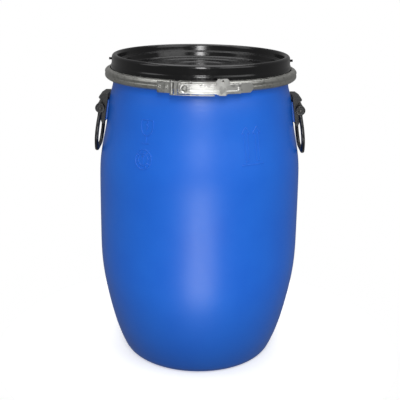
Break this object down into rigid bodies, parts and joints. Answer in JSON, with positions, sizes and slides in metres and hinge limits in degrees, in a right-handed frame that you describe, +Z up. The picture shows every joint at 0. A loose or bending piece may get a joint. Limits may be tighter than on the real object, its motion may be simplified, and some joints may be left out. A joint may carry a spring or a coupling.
{
  "type": "plastic open head drum",
  "caption": "Barrel-shaped plastic drum with a removable recessed lid, a steel lever locking ring and side drop handles.",
  "frame": {"origin": "middle of the base, on the floor", "axes": "+Z up along the drum's axis, -Y towards the ring's lever closure, +X and -X towards the handles"},
  "size_m": [0.4118, 0.4, 0.6145],
  "materials": {
    "drum_plastic": "blow-moulded polyethylene, blue, satin with a fine orange-peel skin",
    "lid_plastic": "injection-moulded polyethylene, black, semi-gloss",
    "gasket_rubber": "foamed rubber, dark grey",
    "galvanised_steel": "galvanised sheet steel with soft spangle and rolling marks",
    "bright_steel": "bright zinc-plated pressed steel",
    "rivet_steel": "zinc-plated steel rivets",
    "handle_plastic": "black moulded polyamide, satin"
  },
  "bodies": {
    "drum": {"drum_shell": "drum_plastic", "handle_bracket_left": "handle_plastic", "handle_bracket_right": "handle_plastic", "handle_pin_left": "handle_plastic", "handle_pin_right": "handle_plastic"},
    "lid": {"lid": "lid_plastic", "lid_gasket": "gasket_rubber"},
    "ring": {"ring_hoop": "galvanised_steel", "link_bracket": "galvanised_steel", "lever_bracket": "galvanised_steel", "link_pin": "rivet_steel", "lever_rivets": "rivet_steel"},
    "lever": {"closing_lever": "bright_steel", "toggle_pin": "rivet_steel", "catch_pin": "rivet_steel"},
    "link": {"toggle_link": "galvanised_steel"},
    "catch": {"safety_catch": "bright_steel"},
    "handle_left": {"handle_left": "handle_plastic"},
    "handle_right": {"handle_right": "handle_plastic"}
  },
  "joints": [
    {"name": "ring_lift", "type": "slide", "parent": "drum", "child": "ring", "axis": [0, 0, 1], "range_m": [0, 0.5], "deforming": ["ring_hoop"]},
    {"name": "lid_lift", "type": "slide", "parent": "drum", "child": "lid", "axis": [0, 0, 1], "range_m": [0, 0.25]},
    {"name": "lever_swing", "type": "hinge", "parent": "ring", "child": "lever", "pos_m": [-0.037, -0.18738, 0.5766], "axis": [0, 0, -1], "range_deg": [0, 145]},
    {"name": "link_swing", "type": "hinge", "parent": "lever", "child": "link", "pos_m": [-0.017, -0.19024, 0.5766], "axis": [0, 0, 1], "range_deg": [0, 145]},
    {"name": "catch_flip", "type": "hinge", "parent": "lever", "child": "catch", "pos_m": [0.03768, -0.18816, 0.5676], "axis": [0.9805, 0.1963, 0], "range_deg": [0, 112]},
    {"name": "handle_left_swing", "type": "hinge", "parent": "drum", "child": "handle_left", "pos_m": [-0.1942, 0, 0.5115], "axis": [0, 1, 0], "range_deg": [0, 140]},
    {"name": "handle_right_swing", "type": "hinge", "parent": "drum", "child": "handle_right", "pos_m": [0.1942, 0, 0.5115], "axis": [0, -1, 0], "range_deg": [0, 140]}
  ],
  "couplings": [
    {"joint": "lid_lift", "follows": "ring_lift", "ratio": 0.5},
    {"joint": "link_swing", "follows": "lever_swing", "ratio": 1}
  ]
}
